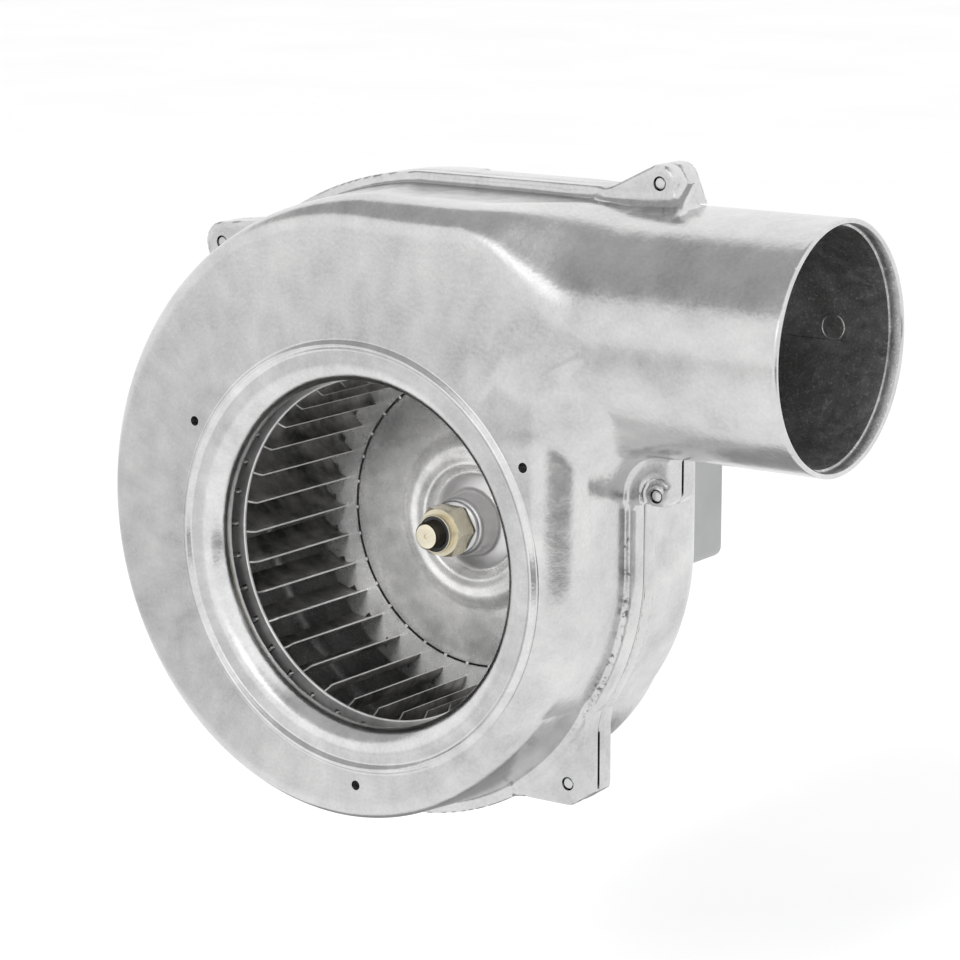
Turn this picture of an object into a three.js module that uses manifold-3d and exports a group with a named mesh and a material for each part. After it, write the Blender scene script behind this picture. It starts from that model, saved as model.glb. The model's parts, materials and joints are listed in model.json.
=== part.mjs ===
// Combustion fan of a boiler: a die-cast scroll casing in two halves with a round outlet pipe,
// a sheet-metal impeller on a motor shaft, and an enclosed motor on four posts behind it.
// Millimetres, +Z up. The origin is the centre of the inlet, on the flat front face.
// The shaft lies along +Y, into the fan, and the outlet pipe points along +X.
import * as THREE from "three";
import { mergeVertices } from "three/addons/utils/BufferGeometryUtils.js";
import Module from "manifold-3d";

const GAP = 0.3; // clearance between neighbouring pieces

// Casing: the halves meet at JOINT_Y, with a thin gasket between them.
const JOINT_Y = 42;
const JOINT_GAP = 0.55; // from the joint plane to each half
const CASING_BACK = 83;
const WALL = 3;
const SCROLL_SMALL = 82.5; // radius of the scroll wall at the joint, beside the tongue
const SCROLL_LARGE = 120; // and at the top
const SCROLL_START = 35; // degrees turned clockwise before the scroll opens
const SCROLL_END = 270;
const SCROLL_POWER = 0.93;
const SCROLL_STEP = 10; // degrees
const LEAN_SIDE = 4; // how far the draft brings the wall in at the front, beside the tongue
const LEAN_TOP = 1.5; // and at the top
const LEAN_OUTLET = 0.5; // and on the outlet side
const CORNER = 14; // radius of the casing's upper outlet-side corner
const FRONT_ROUND = { small: 5, large: 34, from: 30 }; // it grows along the top, from this x on
const TOP_STEPS = [60, 45, 30, 15]; // x of the outline's points along the top
const BACK_ROUND = 8;
const FLANGE = { proud: 3.5, thick: 6 };
const LUG = { thick: 7, holeRadius: 2.3 };
const SHOULDER = { centre: 245, spread: 30, height: 6 }; // bulge of the rear half, upper left

// Outlet pipe.
const PIPE = { radius: 40, bore: 37.6, height: 79, end: 156, start: 60, splitX: 86.3 };

// Inlet: a half-round bead, a flat band and a bellmouth down to the throat.
const BEAD = { inner: 68.9, outer: 72.2, height: 1.4 };
const BELL = { edge: 66, throat: 58, depth: 7.3, lip: 8.8, thick: 2 };
const INLET_HOLES = { circle: 76.9, radius: 1.65, depth: 9, boss: 4.5, bossDepth: 11 };
const INLET_HOLE_ANGLES = [30, 150, 270];

// Impeller.
const BLADES = 34;
const BLADE = { inner: 55.3, outer: 65, thick: 0.9, sweep: 7, back: 68.4 };
const TAB = { inner: 60.6, outer: 62.7, proud: 0.3 }; // where a blade reaches through the front ring
const FRONT_RING = { inner: 57.3, outer: 66, front: 14, thick: 1 };
const BACK_RING = { inner: 52.6, outer: 66, front: 68, thick: 1 };
const DISC = { front: 69.5, thick: 1.5, radius: 50.4, bore: 10.8 };
const RIDGE = { start: 17.6, crests: [20.2, 26], end: 32, height: 3.2, dip: 0.5 };
const HUB = { radius: 10.4, front: 58, flange: 17, flangeThick: 2 };
const WASHER = { radius: 9.3, thick: 1.6 };
const NUT = { flats: 16, thick: 8.4, collar: 7.1, collarThick: 3 };

// Shaft, from its threaded tip to its rear end.
const SHAFT = { tip: 39.7, thread: 4.8, radius: 6, shoulder: 7.5, end: 177 };
const SHOULDER_FRONT = 72.5; // the thicker stretch between the hub and the front bearing
const SHOULDER_BACK = 104.5;

// Motor, on four cast posts behind the casing.
const MOTOR = { half: 30.3, corner: 4, wall: 2, front: 101, back: 183, backWall: 5 };
const POST = { place: 25, radius: 5.5, end: 96, hole: 2.3, holeDepth: 10 };
const SHIELD = { front: 96.3, back: 100.7, bossBack: 113.5, bossRadius: 17 };
const BEARING = { bore: 6, outer: 14, width: 8, inner: 8.2, race: 11.8, balls: 8, ball: 2.2 };
const FRONT_BEARING_Y = 104.8;
const REAR_BEARING_Y = 166;
const STATOR = { front: 122, back: 156, outer: 27, bore: 15, slots: 12, slotOuter: 23 };
const WINDING = { inner: 17.5, outer: 22.5, overhang: 6 };
const ROTOR = { radius: 14.6, front: 121, back: 157 };
const TIE_BOLT = { radius: 2, start: 88, head: 3.4, headThick: 2.4, sink: 3 };

// Electrical connection on the side of the motor away from the outlet.
const TERMINALS = { count: 3, pitch: 6, y: [110, 128], half: 10, out: 12, wall: 1.5, floor: 3 };
const TERMINAL_BLADE = { width: 6.3, thick: 0.8, proud: 8 };

// Shaft seal and cooling wheel, in the air gap between casing and motor.
const SEAL = { inner: 7.9, outer: 15, thick: 2 };
const SEAL_PLATE = { inner: 8.6, outer: 20, thick: 1.2, screwCircle: 17.5 };
const SEAL_SCREW = { radius: 1, head: 1.8, headThick: 1.2, depth: 2 };
const COOLING = { front: 88.6, back: 95.4, radius: 25, blades: 10, hubWall: 3, plate: 1.5 };

const DEGREE = Math.PI / 180;

const finish = (color, roughness, metalness) => ({ color, roughness, metalness });
const CAST = finish(0xc4c5c7, 0.42, 0.85);
const SHEET = finish(0xaeb0b2, 0.35, 0.9);
const STEEL = finish(0x9a9c9f, 0.35, 0.9);
const PLATED = finish(0xcabf95, 0.3, 0.9);
const PAINTED = finish(0xa9abad, 0.55, 0.3);
const LAMINATION = finish(0x5f6268, 0.6, 0.7);
const COPPER = finish(0xb0683a, 0.4, 0.8);
const BRASS = finish(0xc8a860, 0.3, 0.9);
const GRAPHITE = finish(0x2d2e30, 0.8, 0.1);
const PLASTIC = finish(0x26282a, 0.6, 0);
const FIBRE = finish(0x90908d, 0.8, 0);

const wasm = await Module();
wasm.setup();

function toSolid(geometry) {
  const bare = geometry.index ? geometry.toNonIndexed() : geometry.clone();
  bare.deleteAttribute("normal");
  bare.deleteAttribute("uv");
  const merged = mergeVertices(bare, 1e-4);
  return new wasm.Manifold(
    new wasm.Mesh({
      numProp: 3,
      vertProperties: merged.attributes.position.array,
      triVerts: new Uint32Array(merged.index.array),
    }),
  );
}

function toGeometry(solid) {
  const { vertProperties, triVerts } = solid.getMesh();
  const geometry = new THREE.BufferGeometry();
  geometry.setAttribute("position", new THREE.BufferAttribute(vertProperties, 3));
  geometry.setIndex(new THREE.BufferAttribute(triVerts, 1));
  geometry.computeVertexNormals();
  return geometry;
}

const join = (solids) => solids.reduce((whole, part) => whole.add(part));
const cut = (solid, tools) => tools.reduce((left, tool) => left.subtract(tool), solid);
const turn = (count, build) => Array.from({ length: count }, (_, k) => build((k * 360) / count));

// A flat piece with an outline in x and z, between two depths.
function slab(shape, yFrom, yTo, curveSegments = 4) {
  const depth = yTo - yFrom;
  const geometry = new THREE.ExtrudeGeometry(shape, { depth, bevelEnabled: false, curveSegments });
  geometry.translate(0, 0, -yTo);
  geometry.rotateX(Math.PI / 2);
  return toSolid(geometry);
}

const polygon = (corners) => new THREE.Shape(corners.map(([x, z]) => new THREE.Vector2(x, z)));

// A round bar along the shaft axis or beside it.
function rod(radius, yFrom, yTo, x = 0, z = 0, sides = 20) {
  const geometry = new THREE.CylinderGeometry(radius, radius, yTo - yFrom, sides);
  geometry.translate(x, (yFrom + yTo) / 2, z);
  return toSolid(geometry);
}

const tube = (inner, outer, yFrom, yTo, sides = 24) =>
  rod(outer, yFrom, yTo, 0, 0, sides).subtract(rod(inner, yFrom - 1, yTo + 1, 0, 0, sides));

function block(x, y, z) {
  const geometry = new THREE.BoxGeometry(x[1] - x[0], y[1] - y[0], z[1] - z[0]);
  geometry.translate((x[0] + x[1]) / 2, (y[0] + y[1]) / 2, (z[0] + z[1]) / 2);
  return toSolid(geometry);
}

// A closed profile of [radius, y] turned about the shaft axis.
function turned(profile, sides = 48) {
  const points = [...profile, profile[0]].map(([r, y]) => new THREE.Vector2(r, y));
  return toSolid(new THREE.LatheGeometry(points, sides));
}

// A bar along the outlet's axis.
function pipeBar(radius, xFrom, xTo, sides = 36) {
  const geometry = new THREE.CylinderGeometry(radius, radius, xTo - xFrom, sides);
  geometry.rotateZ(Math.PI / 2);
  geometry.translate((xFrom + xTo) / 2, JOINT_Y, PIPE.height);
  return toSolid(geometry);
}

// A skin through outlines round the shaft, all with the same number of points, closed at both ends.
function loft(sections) {
  const count = sections[0].outline.length;
  const positions = sections.flatMap(({ y, outline }) => outline.flatMap((p) => [p.x, y, p.y]));
  const front = sections.length * count;
  const back = front + 1;
  positions.push(0, sections[0].y, 0, 0, sections.at(-1).y, 0);
  const faces = [];
  for (let i = 0; i < count; i++) {
    const next = (i + 1) % count;
    for (let k = 0; k + 1 < sections.length; k++) {
      const a = k * count + i;
      const b = k * count + next;
      faces.push(a, a + count, b, b, a + count, b + count);
    }
    const last = front - count;
    faces.push(front, i, next, back, last + next, last + i);
  }
  const geometry = new THREE.BufferGeometry();
  geometry.setAttribute("position", new THREE.Float32BufferAttribute(positions, 3));
  geometry.setIndex(faces);
  return toSolid(geometry);
}

// The scroll outline seen from the inlet, anticlockwise from +X: up the outlet side, along the top,
// and back round the scroll. offset grows it, lean applies the draft, shoulder adds the rear bulge,
// and inset brings it in where the front edge is rounded.
function scrollOutline(offset, lean = 0, shoulder = 0, inset = () => 0) {
  const right = SCROLL_SMALL + offset + inset(0) - lean * LEAN_OUTLET;
  const top = SCROLL_LARGE + offset - lean * LEAN_TOP;
  const corner = CORNER + Math.min(0, offset);
  const points = [new THREE.Vector2(right, 0)];
  for (let angle = 0; angle <= 90; angle += 22.5) {
    const x = right - corner * (1 - Math.cos(angle * DEGREE));
    const z = top + inset(x) - corner * (1 - Math.sin(angle * DEGREE));
    points.push(new THREE.Vector2(x, z));
  }
  for (const x of TOP_STEPS) points.push(new THREE.Vector2(x, top + inset(x)));
  for (let angle = SCROLL_END; angle > 0; angle -= SCROLL_STEP) {
    const share = Math.max(0, (angle - SCROLL_START) / (SCROLL_END - SCROLL_START));
    const wall = SCROLL_SMALL + (SCROLL_LARGE - SCROLL_SMALL) * share ** SCROLL_POWER;
    const low = THREE.MathUtils.smoothstep(angle, 5, 60);
    const side = THREE.MathUtils.lerp(LEAN_OUTLET, LEAN_SIDE, low);
    const draft = lean * (side - (LEAN_SIDE - LEAN_TOP) * share);
    const away = Math.min(1, Math.abs(angle - SHOULDER.centre) / SHOULDER.spread);
    const bulge = shoulder * SHOULDER.height * Math.cos((away * Math.PI) / 2) ** 2;
    const radius = wall + offset + inset(0) - draft + bulge;
    points.push(
      new THREE.Vector2(radius * Math.cos(angle * DEGREE), -radius * Math.sin(angle * DEGREE)),
    );
  }
  return points;
}

const section = (y, offset, lean, shoulder) => ({ y, outline: scrollOutline(offset, lean, shoulder) });

// The front of the casing from depth yStart on, within walls that are this thick.
function frontSections(yStart, wall) {
  const depths = [0, 0.7, 2.5, 5, 12, 22, 31];
  return depths.map((depth) => {
    const inset = (x) => {
      const share = THREE.MathUtils.clamp((x - FRONT_ROUND.from) / (PIPE.splitX - FRONT_ROUND.from), 0, 1);
      const radius = THREE.MathUtils.lerp(FRONT_ROUND.small, FRONT_ROUND.large, share ** 2) - wall;
      const rest = Math.max(0, radius - depth);
      return Math.sqrt(radius ** 2 - rest ** 2) - radius;
    };
    const y = yStart + depth;
    return { y, outline: scrollOutline(-wall, 1 - y / JOINT_Y, 0, inset) };
  });
}

// The air space of the scroll, which both halves share.
const scrollSpace = loft([
  ...frontSections(WALL, WALL),
  section(JOINT_Y, -WALL, 0),
  section(CASING_BACK - WALL - 6, -WALL, 0),
  section(CASING_BACK - WALL, -WALL - 6, 0),
]);

// Lug outlines, in x and z, and their screw holes.
const LUGS = {
  top: {
    hole: [94, 126],
    outline: () => {
      const shape = polygon([[64, 117], [100, 117], [100, 126]]);
      shape.absarc(94, 126, 6, 0, 115 * DEGREE, false);
      return shape;
    },
  },
  right: {
    hole: [94, 26.5],
    outline: () => {
      const shape = polygon([[78, 22], [98, 22], [100, 24.5], [100, 38]]);
      shape.lineTo(89, 38);
      shape.absarc(89.5, 31, 7.2, 90 * DEGREE, 180 * DEGREE, false);
      return shape;
    },
  },
  bottom: {
    hole: [61, -74.3],
    outline: () => polygon([[36, -78], [39, -82], [62, -82], [69, -77], [69, -48], [60, -48]]),
  },
  left: {
    hole: [-82.5, 93.5],
    outline: () => {
      const shape = polygon([[-85, 76], [-66, 88], [-66, 102], [-80, 102]]);
      shape.absarc(-82.5, 93.8, 7.2, 80 * DEGREE, 195 * DEGREE, false);
      return shape;
    },
  },
};

const lugHoles = Object.values(LUGS).map(({ hole: [x, z] }) =>
  rod(LUG.holeRadius, JOINT_Y - 20, JOINT_Y + 20, x, z, 14),
);

function frontCasing() {
  const edge = JOINT_Y - JOINT_GAP;
  const body = loft([...frontSections(0, 0), section(edge, 0, 0)]);
  const flange = loft([
    section(JOINT_Y - FLANGE.thick, FLANGE.proud, 0),
    section(edge, FLANGE.proud, 0),
  ]);
  const nearPipe = pipeBar(PIPE.radius, PIPE.start, PIPE.end).subtract(
    block([PIPE.start - 1, PIPE.splitX + GAP], [edge, CASING_BACK], [0, 130]),
  );
  const plinth = block([62, 104], [JOINT_Y - 11, edge], [104, 119.7]);
  const lugs = Object.values(LUGS).map(({ outline }) =>
    slab(outline(), JOINT_Y - LUG.thick, edge),
  );
  const shell = join([body, flange, nearPipe, plinth, ...lugs]);
  const hollow = cut(shell, [
    scrollSpace,
    pipeBar(PIPE.bore, PIPE.start + 5, PIPE.end + 1),
    rod(BELL.edge + 2, -1, WALL + 1, 0, 0, 40),
  ]);
  const places = INLET_HOLE_ANGLES.map((angle) => [
    INLET_HOLES.circle * Math.cos(angle * DEGREE),
    INLET_HOLES.circle * Math.sin(angle * DEGREE),
  ]);
  const bosses = places.map(([x, z]) => rod(INLET_HOLES.boss, 1, INLET_HOLES.bossDepth, x, z, 12));
  const holes = places.map(([x, z]) => rod(INLET_HOLES.radius, -1, INLET_HOLES.depth, x, z, 12));
  return cut(join([hollow, inletRing(), ...bosses]), [...holes, ...lugHoles]);
}

// The bead, flat band and bellmouth, turned in one profile.
function inletRing() {
  const middle = (BEAD.inner + BEAD.outer) / 2;
  const half = (BEAD.outer - BEAD.inner) / 2;
  const bead = [0, 60, 120, 180].map((angle) => [
    middle - half * Math.cos(angle * DEGREE),
    -BEAD.height * Math.sin(angle * DEGREE),
  ]);
  const bell = (edge, throat, front) =>
    [0, 30, 60, 90].map((angle) => [
      edge - (edge - throat) * Math.sin(angle * DEGREE),
      BELL.depth - (BELL.depth - front) * Math.cos(angle * DEGREE),
    ]);
  const outside = BELL.edge + 8;
  return turned([
    [outside, 0],
    [outside, WALL],
    ...bell(BELL.edge + 1, BELL.throat + BELL.thick, WALL),
    [BELL.throat + BELL.thick, BELL.lip],
    [BELL.throat, BELL.lip],
    ...bell(BELL.edge, BELL.throat, 0).reverse(),
    ...bead,
  ], 36);
}

function rearCasing() {
  const edge = JOINT_Y + JOINT_GAP;
  const round = BACK_ROUND;
  const wallEnd = CASING_BACK - round;
  const bend = (angle) =>
    section(wallEnd + round * Math.sin(angle * DEGREE), round * (Math.cos(angle * DEGREE) - 1), 0, 1);
  const flangeEnd = JOINT_Y + FLANGE.thick;
  const body = loft([
    section(edge, 0, 0, 0),
    section(flangeEnd, 0, 0, 0),
    section(flangeEnd + 4, 0, 0, 1),
    bend(0),
    bend(30),
    bend(60),
    bend(90),
  ]);
  const flange = loft([section(edge, FLANGE.proud, 0), section(flangeEnd, FLANGE.proud, 0)]);
  const collar = pipeBar(PIPE.radius, PIPE.start, PIPE.splitX - GAP);
  const aboveJoint = block([-140, 140], [edge, 100], [-140, 160]);
  const lugs = Object.values(LUGS).map(({ outline }) =>
    slab(outline(), edge, JOINT_Y + LUG.thick).subtract(
      pipeBar(PIPE.radius + GAP, PIPE.splitX, PIPE.end),
    ),
  );
  const posts = motorCorners.map(([x, z]) =>
    rod(POST.radius, CASING_BACK - 1, POST.end, x, z, 16),
  );
  const shell = join([body, flange, collar.intersect(aboveJoint), ...lugs]);
  const hollow = cut(shell, [scrollSpace, pipeBar(PIPE.bore, PIPE.start + 5, PIPE.end)]);
  const postHoles = motorCorners.map(([x, z]) =>
    rod(POST.hole, POST.end - POST.holeDepth, POST.end + 1, x, z, 12),
  );
  const sealHoles = sealScrewPlaces.map(([x, z]) =>
    rod(SEAL_SCREW.radius + GAP, CASING_BACK - SEAL_SCREW.depth - 0.5, CASING_BACK + 1, x, z, 10),
  );
  const shaftHole = rod(SHAFT.shoulder + 1.5, CASING_BACK - 10, CASING_BACK + 1);
  return cut(join([hollow, ...posts]), [shaftHole, ...postHoles, ...sealHoles, ...lugHoles]);
}

const motorCorners = [[1, 1], [1, -1], [-1, -1], [-1, 1]].map(([x, z]) => [
  x * POST.place,
  z * POST.place,
]);

const sealScrewPlaces = turn(3, (angle) => [
  SEAL_PLATE.screwCircle * Math.cos((angle + 90) * DEGREE),
  SEAL_PLATE.screwCircle * Math.sin((angle + 90) * DEGREE),
]);

function casingGasket() {
  const thick = JOINT_GAP - GAP;
  const ring = (offset) =>
    loft([section(JOINT_Y - thick, offset, 0), section(JOINT_Y + thick, offset, 0)]);
  return cut(ring(2), [
    loft([section(JOINT_Y - 1, GAP - WALL, 0), section(JOINT_Y + 1, GAP - WALL, 0)]),
    pipeBar(PIPE.bore + GAP, PIPE.start, PIPE.end),
  ]);
}

// A pan-head screw that points towards the inlet, with a hexagon recess in its head.
function screw(radius, headRadius, headThick, tip, seat, [x, z]) {
  const shank = rod(radius, tip, seat + 0.5, x, z, 8);
  const head = rod(headRadius, seat, seat + headThick, x, z, 12);
  const recess = rod(radius * 0.7, seat + headThick * 0.45, seat + headThick + 1, x, z, 6);
  return shank.add(head).subtract(recess);
}

const casingScrew = (place) =>
  screw(LUG.holeRadius - GAP, 3.6, 2.6, JOINT_Y - LUG.thick + 0.6, JOINT_Y + LUG.thick + GAP, place);

// One forward-curved blade at angle zero: its tip leads, clockwise as seen from the inlet.
function blade() {
  const steps = 2;
  const edge = (side) =>
    Array.from({ length: steps + 1 }, (_, k) => {
      const share = k / steps;
      const radius = BLADE.inner + (BLADE.outer - BLADE.inner) * share;
      return [radius, (side * BLADE.thick) / 2 - BLADE.sweep * share ** 2];
    });
  const outline = polygon([...edge(-1), ...edge(1).reverse()]);
  const { inner, front, thick } = FRONT_RING;
  const besideTab = (from, to) => block([from, to], [0, front + thick + GAP], [-20, 10]);
  const chamfer = turned([
    [BLADE.inner - 3, 0],
    [inner, 0],
    [inner, front + 1],
    [BLADE.inner - 3, front + 6],
  ]);
  const sheet = slab(outline, front - TAB.proud, BLADE.back);
  return cut(sheet, [besideTab(BLADE.inner - 5, TAB.inner), besideTab(TAB.outer, 70), chamfer]);
}

const spun = (solid, angle) => solid.rotate([0, angle, 0]);

// The blades stand on a flat ring at the back, and each has a tab that reaches over the disc.
function bladeSet() {
  const single = blade();
  const tongue = block([DISC.radius - 1.5, BACK_RING.inner + 1], [68.2, 69], [-1, 1]);
  const back = tube(
    BACK_RING.inner,
    BACK_RING.outer,
    BACK_RING.front,
    BACK_RING.front + BACK_RING.thick,
    BLADES,
  );
  return join([back, ...turn(BLADES, (angle) => spun(single.add(tongue), angle))]);
}

// The flat front ring, with a slot for each blade's tab.
function frontRing() {
  const { inner, outer, front, thick } = FRONT_RING;
  const mid = (TAB.inner + TAB.outer) / 2;
  const sweep = -BLADE.sweep * ((mid - BLADE.inner) / (BLADE.outer - BLADE.inner)) ** 2;
  const slot = block([mid - 2.1, mid + 2.1], [front - 1, front + thick + 1], [sweep - 2, sweep + 2]);
  const ring = tube(inner, outer, front, front + thick, BLADES);
  return cut(ring, turn(BLADES, (angle) => spun(slot, angle)));
}

// The dished disc: a broad ridge round the hub with a shallow dip along its top, then flat.
function impellerDisc() {
  const { front, thick, radius, bore } = DISC;
  const { start, crests, end, height, dip } = RIDGE;
  const top = front - height;
  return turned([
    [bore, front],
    [start, front],
    [(start + crests[0]) / 2, front - height / 2],
    [crests[0], top],
    [(crests[0] + crests[1]) / 2, top + dip],
    [crests[1], top],
    [(crests[1] + end) / 2, front - height / 2],
    [end, front],
    [radius, front],
    [radius, front + thick],
    [bore, front + thick],
  ], 36);
}

function impellerHub() {
  const { radius, front, flange, flangeThick } = HUB;
  const bore = SHAFT.radius + GAP;
  const seat = DISC.front - GAP;
  return turned([
    [bore, front],
    [radius - 0.8, front],
    [radius, front + 0.8],
    [radius, seat - flangeThick],
    [flange, seat - flangeThick],
    [flange, seat],
    [radius, seat],
    [radius, SHOULDER_FRONT - GAP],
    [bore, SHOULDER_FRONT - GAP],
  ], 24);
}

// A hexagon nut with a round locking collar in front.
function clampNut() {
  const back = HUB.front - WASHER.thick - 2 * GAP;
  const front = back - NUT.thick;
  const corner = NUT.flats / 2 / Math.cos(30 * DEGREE);
  const chamfer = turned([
    [0, front - NUT.collarThick],
    [NUT.collar - 1, front - NUT.collarThick],
    [NUT.collar, front - NUT.collarThick + 1],
    [NUT.collar, front],
    [corner - 1.2, front],
    [corner, front + 1],
    [corner, back - 1],
    [corner - 1.2, back],
    [0, back],
  ], 24);
  const hexagon = rod(corner, front, back, 0, 0, 6).add(rod(NUT.collar, front - 5, front + 1));
  return hexagon.intersect(chamfer).subtract(rod(SHAFT.thread + GAP, 0, 100));
}

function shaft() {
  const { tip, thread, radius, shoulder, end } = SHAFT;
  return turned([
    [0, tip],
    [thread - 0.7, tip],
    [thread, tip + 0.7],
    [thread, HUB.front + 0.6],
    [radius, HUB.front + 1.8],
    [radius, SHOULDER_FRONT],
    [shoulder, SHOULDER_FRONT],
    [shoulder, SHOULDER_BACK],
    [radius, SHOULDER_BACK],
    [radius, end - 1],
    [radius - 1, end],
    [0, end],
  ], 24);
}

// The seal rests on the back of the casing, and a plate with three screws holds it there.
const sealFront = CASING_BACK + GAP;
const sealPlateFront = sealFront + SEAL.thick + GAP;
const sealPlateBack = sealPlateFront + SEAL_PLATE.thick;

const shaftSeal = () => tube(SEAL.inner, SEAL.outer, sealFront, sealFront + SEAL.thick);

function sealPlate() {
  const holes = sealScrewPlaces.map(([x, z]) =>
    rod(SEAL_SCREW.radius + GAP, sealPlateFront - 1, sealPlateBack + 1, x, z, 12),
  );
  return cut(tube(SEAL_PLATE.inner, SEAL_PLATE.outer, sealPlateFront, sealPlateBack), holes);
}

const sealScrew = (place) => {
  const { radius, head, headThick, depth } = SEAL_SCREW;
  return screw(radius, head, headThick, CASING_BACK - depth, sealPlateBack + GAP, place);
};

// A radial wheel that moves cooling air between the hot casing and the motor.
function coolingWheel() {
  const { front, back, radius, blades, hubWall, plate: plateThick } = COOLING;
  const bore = SHAFT.shoulder + GAP;
  const hub = tube(bore, bore + hubWall, front, back, 24);
  const plate = tube(bore + 1, radius, back - plateThick, back, 24);
  const vane = block([bore + 1, radius - 0.5], [front, back - 1], [-0.6, 0.6]);
  return join([hub, plate, ...turn(blades, (angle) => spun(vane, angle))]);
}

// A rounded square outline round the shaft axis.
function squareOutline(half, corner) {
  const shape = new THREE.Shape();
  for (const [quarter, [x, z]] of [[1, 1], [-1, 1], [-1, -1], [1, -1]].entries()) {
    const start = quarter * 90 * DEGREE;
    const reach = half - corner;
    shape.absarc(x * reach, z * reach, corner, start, start + 90 * DEGREE, false);
  }
  return shape;
}

const boltRods = (radius, yFrom, yTo) =>
  motorCorners.map(([x, z]) => rod(radius, yFrom, yTo, x, z, 12));

function motorShield() {
  const { front, back, bossBack, bossRadius } = SHIELD;
  const plate = slab(squareOutline(MOTOR.half, MOTOR.corner), front, back);
  const boss = rod(bossRadius, back - 1, bossBack, 0, 0, 20);
  const seat = rod(BEARING.outer + GAP, FRONT_BEARING_Y - GAP, bossBack + 1, 0, 0, 20);
  const shaftHole = rod(SHAFT.shoulder + 0.8, front - 1, bossBack, 0, 0, 24);
  const bolts = boltRods(TIE_BOLT.radius + GAP, front - 1, back + 1);
  return cut(plate.add(boss), [seat, shaftHole, ...bolts]);
}

// A cup that closes the motor at the back and holds the rear bearing in a boss.
function motorHousing() {
  const { half, corner, wall, front, back, backWall } = MOTOR;
  const rounded = [
    slab(squareOutline(half, corner), front, back - 2),
    slab(squareOutline(half - 0.6, corner - 0.6), back - 3, back - 0.7),
    slab(squareOutline(half - 2, corner - 1), back - 3, back),
  ];
  const room = slab(squareOutline(half - wall, corner - 1), front - 1, back - backWall);
  const boss = rod(SHIELD.bossRadius, REAR_BEARING_Y + 2, back - 1, 0, 0, 20);
  const seat = rod(BEARING.outer + GAP, 150, REAR_BEARING_Y + BEARING.width + 2.5, 0, 0, 20);
  const endRoom = rod(SHAFT.radius + 1, 150, SHAFT.end + 2, 0, 0, 24);
  const bolts = boltRods(TIE_BOLT.radius + GAP, 150, back + 1);
  const sinks = boltRods(TIE_BOLT.head + GAP, back - TIE_BOLT.sink, back + 1);
  const window = block([-half - 1, wall - half + 1], TERMINALS.y, [-TERMINALS.half, TERMINALS.half]);
  return cut(join(rounded).subtract(room).add(boss), [seat, endRoom, window, ...bolts, ...sinks]);
}

const tieBolt = (place) => {
  const { radius, head, headThick, start, sink } = TIE_BOLT;
  return screw(radius, head, headThick, start, MOTOR.back - sink + GAP, place);
};

const terminalPlaces = Array.from(
  { length: TERMINALS.count },
  (_, k) => (k - (TERMINALS.count - 1) / 2) * TERMINALS.pitch,
);

// A bar along x through the middle of the terminals, with half sizes in y and z about a height.
function terminalBar(x, halfY, height, halfZ) {
  const middle = (TERMINALS.y[0] + TERMINALS.y[1]) / 2;
  return block(x, [middle - halfY, middle + halfY], [height - halfZ, height + halfZ]);
}

// An open box with a plug that fills the window in the motor's side.
function terminalHousing() {
  const { y, half, out, wall, floor } = TERMINALS;
  const side = -MOTOR.half;
  const halfY = (y[1] - y[0]) / 2;
  const box = terminalBar([side - out, side - GAP], halfY + wall, 0, half + wall);
  const plug = terminalBar([side - 1, side + MOTOR.wall], halfY - GAP, 0, half - GAP);
  const pocket = terminalBar([side - out - 1, side - GAP - floor], halfY, 0, half);
  const slots = terminalPlaces.map((height) =>
    terminalBar(
      [side - out, side + MOTOR.wall + 1],
      TERMINAL_BLADE.width / 2 + GAP,
      height,
      TERMINAL_BLADE.thick / 2 + GAP,
    ),
  );
  return cut(box.add(plug), [pocket, ...slots]);
}

const terminalBlade = (height) =>
  terminalBar(
    [-MOTOR.half - TERMINALS.floor - TERMINAL_BLADE.proud, -MOTOR.half + MOTOR.wall],
    TERMINAL_BLADE.width / 2,
    height,
    TERMINAL_BLADE.thick / 2,
  );

function stator() {
  const { front, back, outer, bore, slots, slotOuter } = STATOR;
  const core = tube(bore, outer, front, back, 36);
  const slot = block([WINDING.inner - 0.5, slotOuter], [front - 1, back + 1], [-2.2, 2.2]);
  const mouth = block([bore - 1, WINDING.inner], [front - 1, back + 1], [-0.8, 0.8]);
  return cut(core, turn(slots, (angle) => spun(slot.add(mouth), angle)));
}

// Two end turns and the bars that fill the slots between them.
function winding() {
  const { inner, outer, overhang } = WINDING;
  const { front, back, slots } = STATOR;
  const ends = [
    tube(inner, outer, front - GAP - overhang, front - GAP, 12),
    tube(inner, outer, back + GAP, back + GAP + overhang, 12),
  ];
  const bar = block([inner, outer - 0.2], [front - 1, back + 1], [-1.8, 1.8]);
  return join([...ends, ...turn(slots, (angle) => spun(bar, angle))]);
}

const rotorCore = () =>
  turned([
    [SHAFT.radius + GAP, ROTOR.front - 4],
    [ROTOR.radius - 2.5, ROTOR.front - 4],
    [ROTOR.radius - 2.5, ROTOR.front],
    [ROTOR.radius, ROTOR.front],
    [ROTOR.radius, ROTOR.back],
    [ROTOR.radius - 2.5, ROTOR.back],
    [ROTOR.radius - 2.5, ROTOR.back + 4],
    [SHAFT.radius + GAP, ROTOR.back + 4],
  ], 28);

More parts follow.
